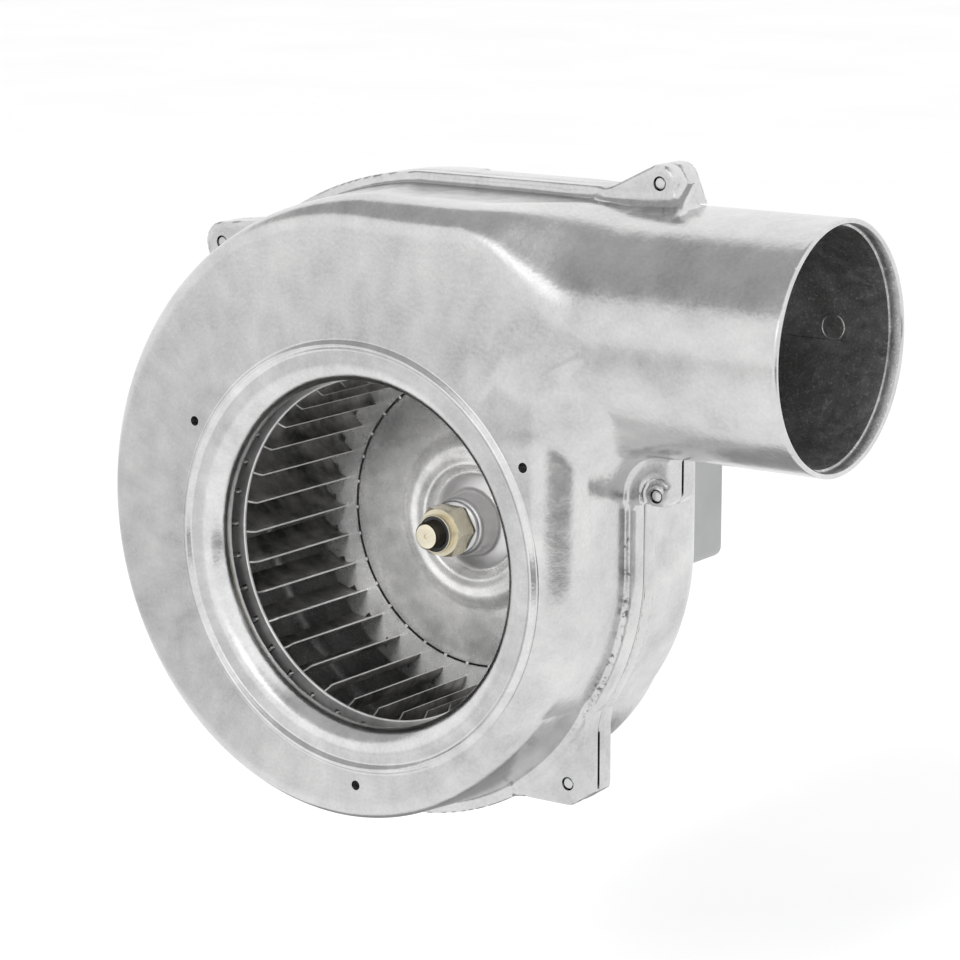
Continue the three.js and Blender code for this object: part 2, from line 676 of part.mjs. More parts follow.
// The three pieces of a ball bearing that starts at depth y; a cage carries the balls.
function bearing(y) {
  const { bore, outer, width, inner, race, balls, ball } = BEARING;
  const middle = (inner + race) / 2;
  const seat = y + width / 2;
  const channel = [-1, 1].map((side) => seat + side * ball * 0.9);
  const cage = tube(middle - 0.6, middle + 0.6, seat - 1.6, seat + 1.6, 16);
  const sphere = toSolid(new THREE.IcosahedronGeometry(ball - 0.2, 0).translate(middle, seat, 0));
  return {
    outer: turned([
      [outer, y],
      [outer, y + width],
      [race, y + width],
      [race, channel[1]],
      [race + 0.9, seat],
      [race, channel[0]],
      [race, y],
    ], 20),
    inner: turned([
      [inner, y],
      [inner, channel[0]],
      [inner - 0.9, seat],
      [inner, channel[1]],
      [inner, y + width],
      [bore + GAP, y + width],
      [bore + GAP, y],
    ], 20),
    balls: join([cage, ...turn(balls, (angle) => spun(sphere, angle))]),
  };
}

const group = new THREE.Group();

function place(name, solid, look) {
  const mesh = new THREE.Mesh(toGeometry(solid), new THREE.MeshStandardMaterial(look));
  mesh.name = name;
  group.add(mesh);
}

place("front_casing", frontCasing(), CAST);
place("rear_casing", rearCasing(), CAST);
place("casing_gasket", casingGasket(), FIBRE);
for (const [name, { hole }] of Object.entries(LUGS)) {
  place(`casing_screw_${name}`, casingScrew(hole), STEEL);
}

const washerBack = HUB.front - GAP;
place("impeller_blades", bladeSet(), SHEET);
place("impeller_front_ring", frontRing(), SHEET);
place("impeller_disc", impellerDisc(), SHEET);
place("impeller_hub", impellerHub(), STEEL);
place("clamp_washer", tube(SHAFT.thread + GAP, WASHER.radius, washerBack - WASHER.thick, washerBack), STEEL);
place("clamp_nut", clampNut(), PLATED);
place("motor_shaft", shaft(), STEEL);

place("shaft_seal", shaftSeal(), GRAPHITE);
place("seal_plate", sealPlate(), STEEL);
for (const [k, spot] of sealScrewPlaces.entries()) {
  place(`seal_screw_${k + 1}`, sealScrew(spot), STEEL);
}
place("cooling_wheel", coolingWheel(), PLASTIC);

place("motor_shield", motorShield(), CAST);
place("motor_housing", motorHousing(), PAINTED);
for (const [k, spot] of motorCorners.entries()) {
  place(`tie_bolt_${k + 1}`, tieBolt(spot), STEEL);
}
place("stator_core", stator(), LAMINATION);
place("stator_winding", winding(), COPPER);
place("motor_rotor", rotorCore(), SHEET);
for (const [name, y] of [["front", FRONT_BEARING_Y], ["rear", REAR_BEARING_Y]]) {
  for (const [piece, solid] of Object.entries(bearing(y))) {
    place(`${name}_bearing_${piece}`, solid, STEEL);
  }
}
place("terminal_housing", terminalHousing(), PLASTIC);
for (const [k, height] of terminalPlaces.entries()) {
  place(`terminal_blade_${k + 1}`, terminalBlade(height), BRASS);
}

export default group;
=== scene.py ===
"""Looks for the combustion fan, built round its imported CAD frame. Shapes are worked out in millimetres."""
import json
import math

import bmesh
import bpy
import numpy as np
import openvdb
from mathutils import Matrix, Vector


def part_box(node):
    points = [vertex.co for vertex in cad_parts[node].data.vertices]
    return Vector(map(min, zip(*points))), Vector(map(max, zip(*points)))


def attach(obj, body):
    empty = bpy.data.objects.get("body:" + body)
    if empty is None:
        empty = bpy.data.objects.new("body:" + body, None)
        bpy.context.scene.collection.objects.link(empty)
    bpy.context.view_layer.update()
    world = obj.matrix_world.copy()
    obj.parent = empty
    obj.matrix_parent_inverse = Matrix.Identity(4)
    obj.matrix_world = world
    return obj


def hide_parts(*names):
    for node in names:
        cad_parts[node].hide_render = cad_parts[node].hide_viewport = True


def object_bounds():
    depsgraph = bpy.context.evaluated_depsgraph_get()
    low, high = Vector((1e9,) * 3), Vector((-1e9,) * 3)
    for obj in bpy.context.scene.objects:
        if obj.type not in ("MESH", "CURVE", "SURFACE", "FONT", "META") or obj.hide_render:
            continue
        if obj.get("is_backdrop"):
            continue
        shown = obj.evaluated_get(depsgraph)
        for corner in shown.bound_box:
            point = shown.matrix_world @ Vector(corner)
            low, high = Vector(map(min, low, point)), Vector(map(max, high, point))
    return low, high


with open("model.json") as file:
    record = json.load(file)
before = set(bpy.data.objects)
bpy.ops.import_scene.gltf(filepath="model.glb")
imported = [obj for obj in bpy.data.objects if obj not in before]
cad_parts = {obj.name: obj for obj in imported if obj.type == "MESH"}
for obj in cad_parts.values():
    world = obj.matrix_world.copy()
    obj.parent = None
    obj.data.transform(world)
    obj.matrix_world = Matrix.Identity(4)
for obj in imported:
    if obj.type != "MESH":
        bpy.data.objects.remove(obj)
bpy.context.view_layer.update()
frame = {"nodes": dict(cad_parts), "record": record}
MM = 0.001

# ---------------------------------------------------------------- sizes, in mm
CELL = 1.0  # grid step of the cast shapes
JOINT = 42.0  # the casing halves meet here, with HALF_GAP on each side
HALF_GAP = 0.5
POST = 13.0  # length of the four posts that carry the motor
POST_GAP = 0.3  # between the posts and the motor's shield
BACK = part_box("motor_shield")[0].y / MM - (POST + POST_GAP)  # rear face of the casing
WALL = 3.0
SMALL, LARGE = 82.5, 120.0  # scroll radius beside the tongue and at the top
PIPE_AXIS = 79.0
PIPE_RADIUS = 40.0
PIPE_BORE = 37.6
PIPE_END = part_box("front_casing")[1].x / MM
SPLIT = 86.3  # the pipe is whole beyond this x
PIN_MARK = (131.6, 78.5, 4.0)  # x, z and radius of the ring an ejector pin left inside the pipe
INLET_ANGLES = [30, 150, 270]
INLET_CIRCLE = 76.9
INLET_HOLE = 1.65  # radius
LUG_HOLE = 2.3  # radius, also of the tie bolts' holes
LUG_HOLES = {"top": (94, 126), "right": (94, 26.5), "bottom": (61, -74.3), "left": (-82.5, 93.5)}
BLADES = 34
FIRST_BLADE = 104.3  # degrees about the shaft
BLADE_INNER = 55.3  # radius of a blade's inner edge
BLADE_DEPTH = 9.7  # from there to its outer edge
BLADE_SWING = -7  # how far its outer edge lies to one side
TAB_PLACE = 6.35  # from a blade's inner edge to its tabs
MOTOR_CORNERS = [(25, 25), (25, -25), (-25, -25), (-25, 25)]  # posts and tie bolts
BOLT_SEAT = 2.7  # from the motor's back in to the underside of the tie bolts' heads
# Painted shade on the floor, seen only in reflections: dark patches, the second a painted shadow under the
# fan. Centre, radius and brightness.
FLOOR_SHADE_PATCHES = [
    ((1.7, -1.15, 0), 1.2, 0.26),
    ((-0.06, 0.17, 0), 0.15, 0.34),
    ((-1.3, -0.7, 0), 1.05, 0.75),
]
FLOOR_SIDE = 12.0  # half the floor's width, in metres
FLOOR_DROP = 0.12  # from the fan down to the floor, in metres
WHITE = 1.08  # brightness of the white room, and of the floor as metal reflects it
SOFTBOX = (0.0, -0.92, 0.39)  # direction of the brightest spot that metal reflects
CAMERA_AROUND, CAMERA_UP = 35.226, 12.051  # degrees
CAMERA_PLACE = (0.6434, -0.8398, 0.2521)  # metres
CAMERA_LENS = 124.96


# ---------------------------------------------------------------- distances, positive outside
def rounded_meet(a, b, radius):
    """The overlap of two shapes, with its edge rounded."""
    corner = np.hypot(np.maximum(a + radius, 0), np.maximum(b + radius, 0))
    return np.minimum(np.maximum(a, b), -radius) + corner


def filleted_join(a, b, radius):
    """Both shapes, with a fillet between them."""
    corner = np.hypot(np.maximum(radius - a, 0), np.maximum(radius - b, 0))
    return np.maximum(np.minimum(a, b), radius) - corner


def ramp(value, low, high):
    """A smooth step from 0 to 1 as the value goes from low to high."""
    share = np.clip((value - low) / (high - low), 0, 1)
    return share * share * (3 - 2 * share)


def scroll(x, z, grow=0.0, lean=0.0, bulge=0.0, reach=0.0):
    """The casing's outline: a spiral, and a rounded corner beside the outlet, moved out by reach."""
    angle = np.degrees(-np.arctan2(z, x)) % 360
    share = np.clip((angle - 35) / 235, 0, 1)
    radius = SMALL + (LARGE - SMALL) * share**0.93 + grow
    away = np.clip(np.abs(angle - 245) / 30, 0, 1)
    shoulder = 6 * bulge * np.cos(away * math.pi / 2) ** 2
    draft = 0.5 + 3.5 * ramp(angle, 5, 60) - 2.5 * share
    spiral = np.hypot(x, z) - radius - shoulder + lean * draft
    corner = 14 + min(0.0, grow)
    right = x - (SMALL + grow - corner) + 0.5 * lean - reach
    up = z - (LARGE + grow - corner) + 1.5 * lean
    square = np.hypot(np.maximum(right, 0), np.maximum(up, 0)) + np.minimum(np.maximum(right, up), 0)
    return np.where((x > 0) & (z > 0), square - corner, spiral)


def polygon(x, z, corners):
    """Distance from a closed polygon."""
    nearest = np.full(x.shape, np.inf, x.dtype)
    inside = np.zeros(x.shape, bool)
    for (ax, az), (bx, bz) in zip(corners, corners[1:] + corners[:1]):
        ex, ez = bx - ax, bz - az
        along = np.clip(((x - ax) * ex + (z - az) * ez) / (ex * ex + ez * ez), 0, 1)
        nearest = np.minimum(nearest, np.hypot(x - ax - along * ex, z - az - along * ez))
        if ez:
            inside ^= ((az > z) != (bz > z)) & (x < ax + (z - az) * ex / ez)
    return np.where(inside, -nearest, nearest)


# Lug outlines: corners of a polygon, and the radius it is grown by.
LUGS = {
    "top": ([(66, 108), (77.8, 118), (94, 126), (94, 108)], 6),
    "right": ([(78, 25), (96.5, 25), (98, 26.5), (98, 40), (89, 36), (85, 34), (84.4, 31)], 2),
    "bottom": ([(40.5, -80.5), (61.5, -80.3), (67.5, -76.2), (67.5, -45), (44, -62)], 1.5),
    "left": ([(-82.5, 93.5), (-69.5, 95), (-60, 78), (-78, 78)], 7),
}

REAR_LUGS = {**LUGS, "top": ([(66, 108), (77.8, 118), (94, 126), (99.5, 112.5), (94, 108)], 6)}


def pipe(x, y, z):
    """The outlet pipe as a solid bar, from inside the casing to just past its mouth."""
    across = np.hypot(y - JOINT, z - PIPE_AXIS) - PIPE_RADIUS
    return np.maximum(across, np.maximum(60 - x, x - PIPE_END - 1))


def body(x, y, z):
    """The casing's box. Its front edge is rounded more and more towards the outlet, until it
    becomes the upper front quarter of the pipe, and its front and top sink to the pipe's."""
    lean = np.clip(1 - y / JOINT, 0, 1)
    bulge = ramp(y, JOINT + 6, JOINT + 14)
    side_round = 5 + 9 * ramp(x, 30, 75)
    top_round = 5 + 6 * ramp(x, -60, 30) + 29 * ramp(x, 42, 88)
    front_round = side_round + (top_round - side_round) * ramp(z, 62, 88)
    reach = np.where(y < JOINT, 60 * ramp(z, 64, 88), 0)
    near_pipe = ramp(x, 40, 84) * ramp(z, 30, 70)
    lean = lean * (1 - near_pipe)
    found = scroll(x, z + near_pipe, 0.0, lean, bulge, reach)
    found = rounded_meet(found, (JOINT - PIPE_RADIUS) * near_pipe - y, front_round)
    found = rounded_meet(found, y - BACK, 8.0)
    return np.maximum(found, x - SPLIT)


def envelope(x, y, z):
    """The outside of the closed casing and its pipe, without the flange and lugs."""
    joined = filleted_join(body(x, y, z), pipe(x, y, z), 0.05 + 14 * (1 - ramp(z, 50, 79)))
    crown = LARGE + 6 * ramp(y, JOINT + 6, JOINT + 14)
    return np.maximum(joined, np.maximum(-y, z - crown))


def air_space(x, y, z):
    """The hollow that the impeller turns in."""
    return body(x, y, z) + WALL


def crescent(x, y, z):
    """A shallow groove half round the screw of the right-hand lug."""
    across, up = x - LUG_HOLES["right"][0], z - LUG_HOLES["right"][1]
    ring = np.abs(np.hypot(across, up) - 4.7) - 1.0
    upper_left = -1.0 - up + across
    return np.maximum(np.maximum(ring, upper_left), y - (JOINT - 7) - 1.8)


def lugs(x, y, z, front, back, outlines):
    """The four screw lugs, between two depths."""
    found = np.full(x.shape, 1e3, x.dtype)
    for corners, radius in outlines.values():
        outline = polygon(x, z, corners) - radius
        found = np.minimum(found, rounded_meet(outline, np.maximum(front - y, y - back), 0.8))
    return found


def flange(x, y, z, front, back):
    """The rim along the joint, between two depths."""
    return rounded_meet(scroll(x, z, 3.5), np.maximum(front - y, y - back), 0.8)


def front_half(x, y, z):
    """The front casting and the pipe beyond the split, before the bore, ring and screw holes."""
    edge = JOINT - HALF_GAP
    outside = rounded_meet(envelope(x, y, z), np.minimum(y - edge, SPLIT + 0.3 - x), 0.5)
    outside = filleted_join(outside, flange(x, y, z, JOINT - 6, edge), 1.5)
    web = 0.73 * (z - 121) - 0.68 * (y - 35) + 0.06 * (100 - x)
    plinth = rounded_meet(web, np.maximum(np.maximum(60 - x, x - 104), np.maximum(109 - z, y - edge)), 1.5)
    outside = filleted_join(outside, plinth, 2.0)
    outside = filleted_join(outside, lugs(x, y, z, JOINT - 7, edge, LUGS), 2.0)
    shell = rounded_meet(outside, -air_space(x, y, z), 0.5)
    shell = rounded_meet(shell, -crescent(x, y, z), 0.3)
    shell = np.maximum(shell, np.where(y < 5, 71.0 - np.hypot(x, z), -1e3))
    for angle in INLET_ANGLES:
        bx = INLET_CIRCLE * math.cos(math.radians(angle))
        bz = INLET_CIRCLE * math.sin(math.radians(angle))
        boss = rounded_meet(np.hypot(x - bx, z - bz) - 4.5, np.maximum(1.5 - y, y - 11), 0.5)
        shell = filleted_join(shell, boss, 1.0)
    return shell


def rear_half(x, y, z):
    """The rear casting with its posts. Its wall ends at the split, and its lugs reach past it."""
    edge = JOINT + HALF_GAP
    outside = rounded_meet(envelope(x, y, z), np.maximum(edge - y, x - SPLIT + 0.3), 0.5)
    outside = filleted_join(outside, flange(x, y, z, edge, JOINT + 6), 1.5)
    outside = filleted_join(outside, lugs(x, y, z, edge, JOINT + 7, REAR_LUGS), 2.0)
    shell = rounded_meet(outside, -air_space(x, y, z), 0.5)
    for px, pz in MOTOR_CORNERS:
        post = rounded_meet(np.hypot(x - px, z - pz) - 5.5, np.maximum(BACK - 1 - y, y - BACK - POST), 0.8)
        shell = filleted_join(shell, post, 2.5)
    return np.maximum(shell, 9.0 - np.hypot(x, z))


# ---------------------------------------------------------------- mesh helpers
def new_object(name, mesh):
    found = bpy.data.objects.new(name, mesh)
    bpy.context.scene.collection.objects.link(found)
    return found


def from_faces(name, points, faces):
    """An object from points in metres and faces."""
    mesh = bpy.data.meshes.new(name)
    mesh.from_pydata(points, [], faces)
    return new_object(name, mesh)


def from_edit(name, edit):
    """An object from a bmesh, which is then freed."""
    mesh = bpy.data.meshes.new(name)
    edit.to_mesh(mesh)
    edit.free()
    return new_object(name, mesh)


def weld(piece):
    """Joins points that lie in one place, and turns the faces outward."""
    edit = bmesh.new()
    edit.from_mesh(piece.data)
    bmesh.ops.remove_doubles(edit, verts=edit.verts, dist=1e-7)
    bmesh.ops.recalc_face_normals(edit, faces=edit.faces)
    edit.to_mesh(piece.data)
    edit.free()
    return piece


def ring_point(radius, y, turn):
    """A point in metres at a radius, depth and angle about the shaft."""
    return (radius * math.cos(turn) * MM, y * MM, radius * math.sin(turn) * MM)


def turned_by(piece, turn):
    """Turns a piece about the shaft; positive is clockwise, seen from the inlet."""
    piece.data.transform(Matrix.Rotation(turn, 4, "Y"))
    return piece


def smooth(piece, angle=40):
    """Smooth shading, with the edges sharper than the angle left sharp."""
    piece.data.polygons.foreach_set("use_smooth", [True] * len(piece.data.polygons))
    piece.data.set_sharp_from_angle(angle=math.radians(angle))
    return piece


def cast_shape(name, distance, low, high):
    """A mesh on the zero surface of a distance, with each point drawn onto it."""
    coarse_step = 4
    counts = [int((b - a) / CELL / coarse_step) + 2 for a, b in zip(low, high)]
    axes = [a + CELL * coarse_step * (np.arange(n) + 0.375) for a, n in zip(low, counts)]
    coarse = distance(*np.meshgrid(*axes, indexing="ij"))
    field = np.clip(coarse, -4, 4).repeat(coarse_step, 0).repeat(coarse_step, 1).repeat(coarse_step, 2)
    near = (np.abs(coarse) < 2 * coarse_step * CELL).repeat(coarse_step, 0).repeat(coarse_step, 1)
    near = near.repeat(coarse_step, 2)
    where = [a + CELL * index.astype(np.float32) for a, index in zip(low, np.nonzero(near))]
    field[near] = np.clip(distance(*where), -4, 4)
    grid = openvdb.FloatGrid(background=4.0)
    grid.copyFromArray(field.astype(np.float32))
    points, quads = grid.convertToQuads(isovalue=0)
    points = points * CELL + np.array(low)
    step = 0.05
    for _ in range(3):
        here = distance(*points.T)
        slope = np.stack([
            distance(*(points + step * unit).T) - distance(*(points - step * unit).T) for unit in np.eye(3)
        ], axis=1) / (2 * step)
        reach = np.maximum((slope**2).sum(1), 0.25)
        move = np.clip(here / reach, -CELL / 2, CELL / 2)
        points = points - move[:, None] * slope
    mesh = bpy.data.meshes.new(name)
    mesh.from_pydata((points * MM).tolist(), [], quads[:, ::-1].tolist())
    mesh.update()
    return new_object(name, mesh)


def lathe(name, profile, steps=128, closed=True):
    """A profile of (radius, y) turned about the shaft axis."""
    count = len(profile)
    points = []
    for k in range(steps):
        points += [ring_point(r, y, 2 * math.pi * k / steps) for r, y in profile]
    faces = []
    for k in range(steps):
        a, b = k * count, ((k + 1) % steps) * count
        for i in range(count if closed else count - 1):
            j = (i + 1) % count
            faces.append((a + i, b + i, b + j, a + j))
    return weld(from_faces(name, points, faces))


def arc(cx, cy, rx, ry, start, end, steps=10):
    """Points on an ellipse's arc, as (radius, y), with angles in degrees."""
    angles = [math.radians(start + (end - start) * k / steps) for k in range(steps + 1)]
    return [(cx + rx * math.cos(a), cy + ry * math.sin(a)) for a in angles]


def prism(name, outline, y_from, y_to, bevel=0.0, segments=3):
    """A flat piece with an outline in (x, z), between two depths, with bevelled edges."""
    found = bmesh.new()
    bottom = [found.verts.new((x * MM, y_from * MM, z * MM)) for x, z in outline]
    face = found.faces.new(bottom)
    top = bmesh.ops.extrude_face_region(found, geom=[face])["geom"]
    moved = [v for v in top if isinstance(v, bmesh.types.BMVert)]
    bmesh.ops.translate(found, verts=moved, vec=(0, (y_to - y_from) * MM, 0))
    bmesh.ops.recalc_face_normals(found, faces=found.faces)
    if bevel:
        sharp = [e for e in found.edges if e.calc_face_angle(0) > math.radians(30)]
        bmesh.ops.bevel(found, geom=sharp, offset=bevel * MM, segments=segments, profile=0.5, affect="EDGES")
    return from_edit(name, found)


def circle(radius, x=0.0, z=0.0, steps=48):
    """A round outline in (x, z)."""
    return [
        (x + radius * math.cos(2 * math.pi * k / steps), z + radius * math.sin(2 * math.pi * k / steps))
        for k in range(steps)
    ]


def rounded_square(half, corner, steps=8):
    """A square outline in (x, z) with rounded corners."""
    outline = []
    for quarter, (sx, sz) in enumerate([(1, 1), (-1, 1), (-1, -1), (1, -1)]):
        for k in range(steps + 1):
            turn = math.radians(90 * quarter + 90 * k / steps)
            outline.append((
                sx * (half - corner) + corner * math.cos(turn),
                sz * (half - corner) + corner * math.sin(turn),
            ))
    return outline


def combine(piece, others, operation):
    """Joins others to a piece, or cuts them from it, and deletes them."""
    for other in others:
        step = piece.modifiers.new("combine", "BOOLEAN")
        step.operation = operation
        step.solver = "MANIFOLD"
        step.object = other
        with bpy.context.temp_override(object=piece, active_object=piece):
            bpy.ops.object.modifier_apply(modifier=step.name)
        bpy.data.objects.remove(other)
    piece.data.materials.clear()  # the cutters leave empty slots
    return piece


def merge(name, pieces):
    """One object from several meshes."""
    found = bmesh.new()
    for piece in pieces:
        piece.data.transform(piece.matrix_world)
        found.from_mesh(piece.data)
        bpy.data.objects.remove(piece)
    return from_edit(name, found)


def stand_for(piece, node, body, material):
    """Shows a piece in place of a CAD node, on its body."""
    piece.data.materials.append(material)
    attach(piece, body)
    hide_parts(node)
    return piece


# ---------------------------------------------------------------- materials
class Nodes:
    """A node tree, with short ways to add what these finishes use."""

    def __init__(self, tree, coordinates):
        self.tree = tree
        self.place = self.add("ShaderNodeTexCoord").outputs[coordinates]

    def add(self, kind, **settings):
        node = self.tree.nodes.new(kind)
        for key, value in settings.items():
            if hasattr(node, key):
                setattr(node, key, value)
            else:
                node.inputs[key].default_value = value
        return node

    def link(self, source, target):
        self.tree.links.new(source, target)

    def noise(self, scale, detail=4.0, roughness=0.6, stretch=(1, 1, 1)):
        mapping = self.add("ShaderNodeMapping")
        mapping.inputs["Scale"].default_value = stretch
        self.link(self.place, mapping.inputs["Vector"])
        node = self.add("ShaderNodeTexNoise", Scale=scale, Detail=detail, Roughness=roughness)
        self.link(mapping.outputs["Vector"], node.inputs["Vector"])
        return node.outputs["Fac"]

    def spread(self, source, low, high, start=0.3, end=0.7):
        """A number from low to high as the source goes from start to end."""
        node = self.add("ShaderNodeMapRange")
        node.inputs["From Min"].default_value = start
        node.inputs["From Max"].default_value = end
        node.inputs["To Min"].default_value = low
        node.inputs["To Max"].default_value = high
        self.link(source, node.inputs["Value"])
        return node.outputs["Result"]

    def ramp(self, source, stops):
        node = self.add("ShaderNodeValToRGB")
        marks = node.color_ramp.elements
        marks[0].position, marks[1].position = stops[0][0], stops[-1][0]
        marks[0].color, marks[1].color = (*stops[0][1], 1), (*stops[-1][1], 1)
        for position, color in stops[1:-1]:
            marks.new(position).color = (*color, 1)
        self.link(source, node.inputs["Fac"])
        return node.outputs["Color"]

    def math(self, operation, a, b):
        node = self.add("ShaderNodeMath", operation=operation)
        for socket, value in zip(node.inputs, (a, b)):
            if isinstance(value, (int, float)):
                socket.default_value = value
            else:
                self.link(value, socket)
        return node.outputs["Value"]

    def grey_ramp(self, source, stops):
        return self.ramp(source, [(position, (level, level, level)) for position, level in stops])

    def mix(self, share, a, b):
        node = self.add("ShaderNodeMix", data_type="RGBA")
        for socket, source in (("Factor", share), ("A", a), ("B", b)):
            self.link(source, node.inputs[socket])
        return node.outputs["Result"]


class Finish(Nodes):
    """A material made of a principled shader."""

    def __init__(self, name, metallic, roughness):
        self.material = bpy.data.materials.new(name)
        self.material.use_nodes = True
        super().__init__(self.material.node_tree, "Object")
        self.shader = self.tree.nodes["Principled BSDF"]
        self.shader.inputs["Metallic"].default_value = metallic
        self.shader.inputs["Roughness"].default_value = roughness

    def bump(self, layers):
        """Bumps from (source, height in mm) pairs."""
        last = None
        for source, height in layers:
            node = self.add("ShaderNodeBump")
            node.inputs["Distance"].default_value = height * MM
            self.link(source, node.inputs["Height"])
            if last:
                self.link(last, node.inputs["Normal"])
            last = node.outputs["Normal"]
        self.link(last, self.shader.inputs["Normal"])


def cast_aluminium():
    """Die-cast metal: cloudy and finely grained, with dark pits along the edge of the flange, and
    a painted highlight that makes the inlet's bead and bellmouth brighter."""
    n = Finish("cast_aluminium", 1.0, 0.2)
    cloud = n.noise(22, 6, 0.62)
    stain = n.noise(90, 8, 0.7)
    grain = n.noise(900, 4, 0.7)
    tone = n.math("ADD", n.math("MULTIPLY", cloud, 0.45), n.math("MULTIPLY", stain, 0.35))
    tone = n.math("ADD", tone, n.math("MULTIPLY", grain, 0.2))
    color = n.ramp(tone, [
        (0.37, (0.49, 0.488, 0.49)),
        (0.46, (0.59, 0.588, 0.59)),
        (0.53, (0.65, 0.648, 0.648)),
        (0.63, (0.73, 0.728, 0.726)),
    ])
    split = n.add("ShaderNodeSeparateXYZ")
    n.link(n.place, split.inputs["Vector"])
    squares = [n.math("MULTIPLY", split.outputs[axis], split.outputs[axis]) for axis in "XZ"]
    from_axis = n.math("SQRT", n.math("ADD", *squares), 0)
    from_edge = n.math("ABSOLUTE", n.math("SUBTRACT", split.outputs["Y"], (JOINT - 6.4) * MM), 0)
    pits = n.spread(n.noise(330, 5, 0.75), 0, 1, 0.52, 0.6)
    for source, *limits in (
        (from_edge, 1, 0, 0.0005, 0.0016),
        (split.outputs["X"], 0, 1, 0.055, 0.07),
        (split.outputs["Z"], 1, 0, 0.01, 0.02),
        (from_axis, 1, 0, 0.0838, 0.0848),
    ):
        pits = n.math("MULTIPLY", pits, n.spread(source, *limits))
    color = n.mix(pits, color, n.grey_ramp(grain, [(0.3, 0.1), (0.7, 0.2)]))
    # Painted highlight: a lighter colour on the bead and bellmouth, for the light they reflect.
    bell_highlight = n.spread(from_axis, 0.9, 0, 0.0718, 0.0728)
    bell_highlight = n.math("MULTIPLY", bell_highlight, n.spread(split.outputs["Y"], 1, 0, 0.008, 0.01))
    color = n.mix(bell_highlight, color, n.grey_ramp(tone, [(0.38, 0.58), (0.6, 0.8)]))
    n.link(color, n.shader.inputs["Base Color"])
    n.link(n.spread(stain, 0.14, 0.27), n.shader.inputs["Roughness"])
    n.bump([(cloud, 0.5), (stain, 0.05), (grain, 0.015)])
    return n.material


def cast_inside_shaded():
    """The inner faces of a casting: rough as cast, and darker as painted shade, with small bright crystals.
    """
    n = Finish("cast_inside_shaded", 1.0, 0.45)
    grain = n.noise(1100, 3, 0.8)
    cloud = n.noise(60, 6, 0.7)
    # Painted shade: a darker base than the outer casting, for the shade inside the casing.
    base = n.grey_ramp(cloud, [(0.35, 0.38), (0.65, 0.68)])
    bright = n.grey_ramp(cloud, [(0.35, 0.8), (0.65, 1.0)])
    sparkle = n.spread(grain, 0, 1, 0.54, 0.66)
    n.link(n.mix(sparkle, base, bright), n.shader.inputs["Base Color"])
    n.link(n.spread(n.noise(300, 4), 0.35, 0.5), n.shader.inputs["Roughness"])
    n.bump([(n.noise(400, 4), 0.06), (grain, 0.05)])
    return n.material


def sheet_metal(name, metallic, low, high, rough_low, rough_high):
    """Pressed sheet, cloudy and slightly uneven."""
    n = Finish(name, metallic, 0.3)
    cloud = n.noise(55, 7, 0.7)
    n.link(n.ramp(cloud, [(0.36, low), (0.62, high)]), n.shader.inputs["Base Color"])
    n.link(n.spread(n.noise(260, 4), rough_low, rough_high), n.shader.inputs["Roughness"])
    n.bump([(n.noise(55, 3), 0.15), (n.noise(500, 3), 0.004)])
    return n.material


def turned_metal(name, low, high, rough=(0.2, 0.36), metallic=1.0):
    """Metal turned on a lathe: fine rings round the shaft."""
    n = Finish(name, metallic, 0.28)
    rings = n.noise(1500, 2, 0.5, (0.05, 1, 0.05))
    n.link(n.ramp(n.noise(90, 5), [(0.3, low), (0.7, high)]), n.shader.inputs["Base Color"])
    n.link(n.spread(rings, *rough), n.shader.inputs["Roughness"])
    n.bump([(rings, 0.01)])
    return n.material


def dull(name, low, high, rough, metallic=0.0, grain_scale=600, grain=0.03):
    """Paint, plastic, rubber or lacquered metal: a broad tint and a fine grain."""
    n = Finish(name, metallic, sum(rough) / 2)
    n.link(n.ramp(n.noise(35, 4), [(0.3, low), (0.7, high)]), n.shader.inputs["Base Color"])
    n.link(n.spread(n.noise(180, 3), *rough), n.shader.inputs["Roughness"])
    n.bump([(n.noise(grain_scale, 3), grain)])
    return n.material


CAST = cast_aluminium()
SHADED_INSIDE = cast_inside_shaded()
# Painted shade: the blades' cloudy colour runs down to near black, for the shade between them.
SHADED_SHEET = sheet_metal("aluminised_sheet_shaded", 0.85, (0.13, 0.128, 0.125), (0.62, 0.61, 0.59), 0.3, 0.5)
# Painted highlight: the cut edges of the blades and the front ring are lighter than the sheet, for the light
# they catch.
LIT_EDGE = sheet_metal("cut_edge_painted_highlight", 0.6, (0.55, 0.545, 0.54), (0.72, 0.715, 0.71), 0.3, 0.4)
# Painted shade: the front ring is darker, for the shade it sits in behind the bellmouth.
SHADED_RING_SHEET = sheet_metal("ring_sheet_painted_shade", 0.85, (0.42, 0.42, 0.42), (0.68, 0.68, 0.68), 0.35, 0.5)
DISC = sheet_metal("pressed_disc", 0.5, (0.5, 0.5, 0.5), (0.78, 0.775, 0.77), 0.2, 0.34)
HUB_METAL = turned_metal("hub_steel", (0.68, 0.67, 0.67), (0.8, 0.79, 0.79), (0.3, 0.42), 0.8)
STEEL = turned_metal("zinc_plated_steel", (0.55, 0.56, 0.57), (0.7, 0.7, 0.7))
PLATED = turned_metal("yellow_zinc", (0.7, 0.63, 0.47), (0.86, 0.81, 0.66), (0.16, 0.3), 0.85)
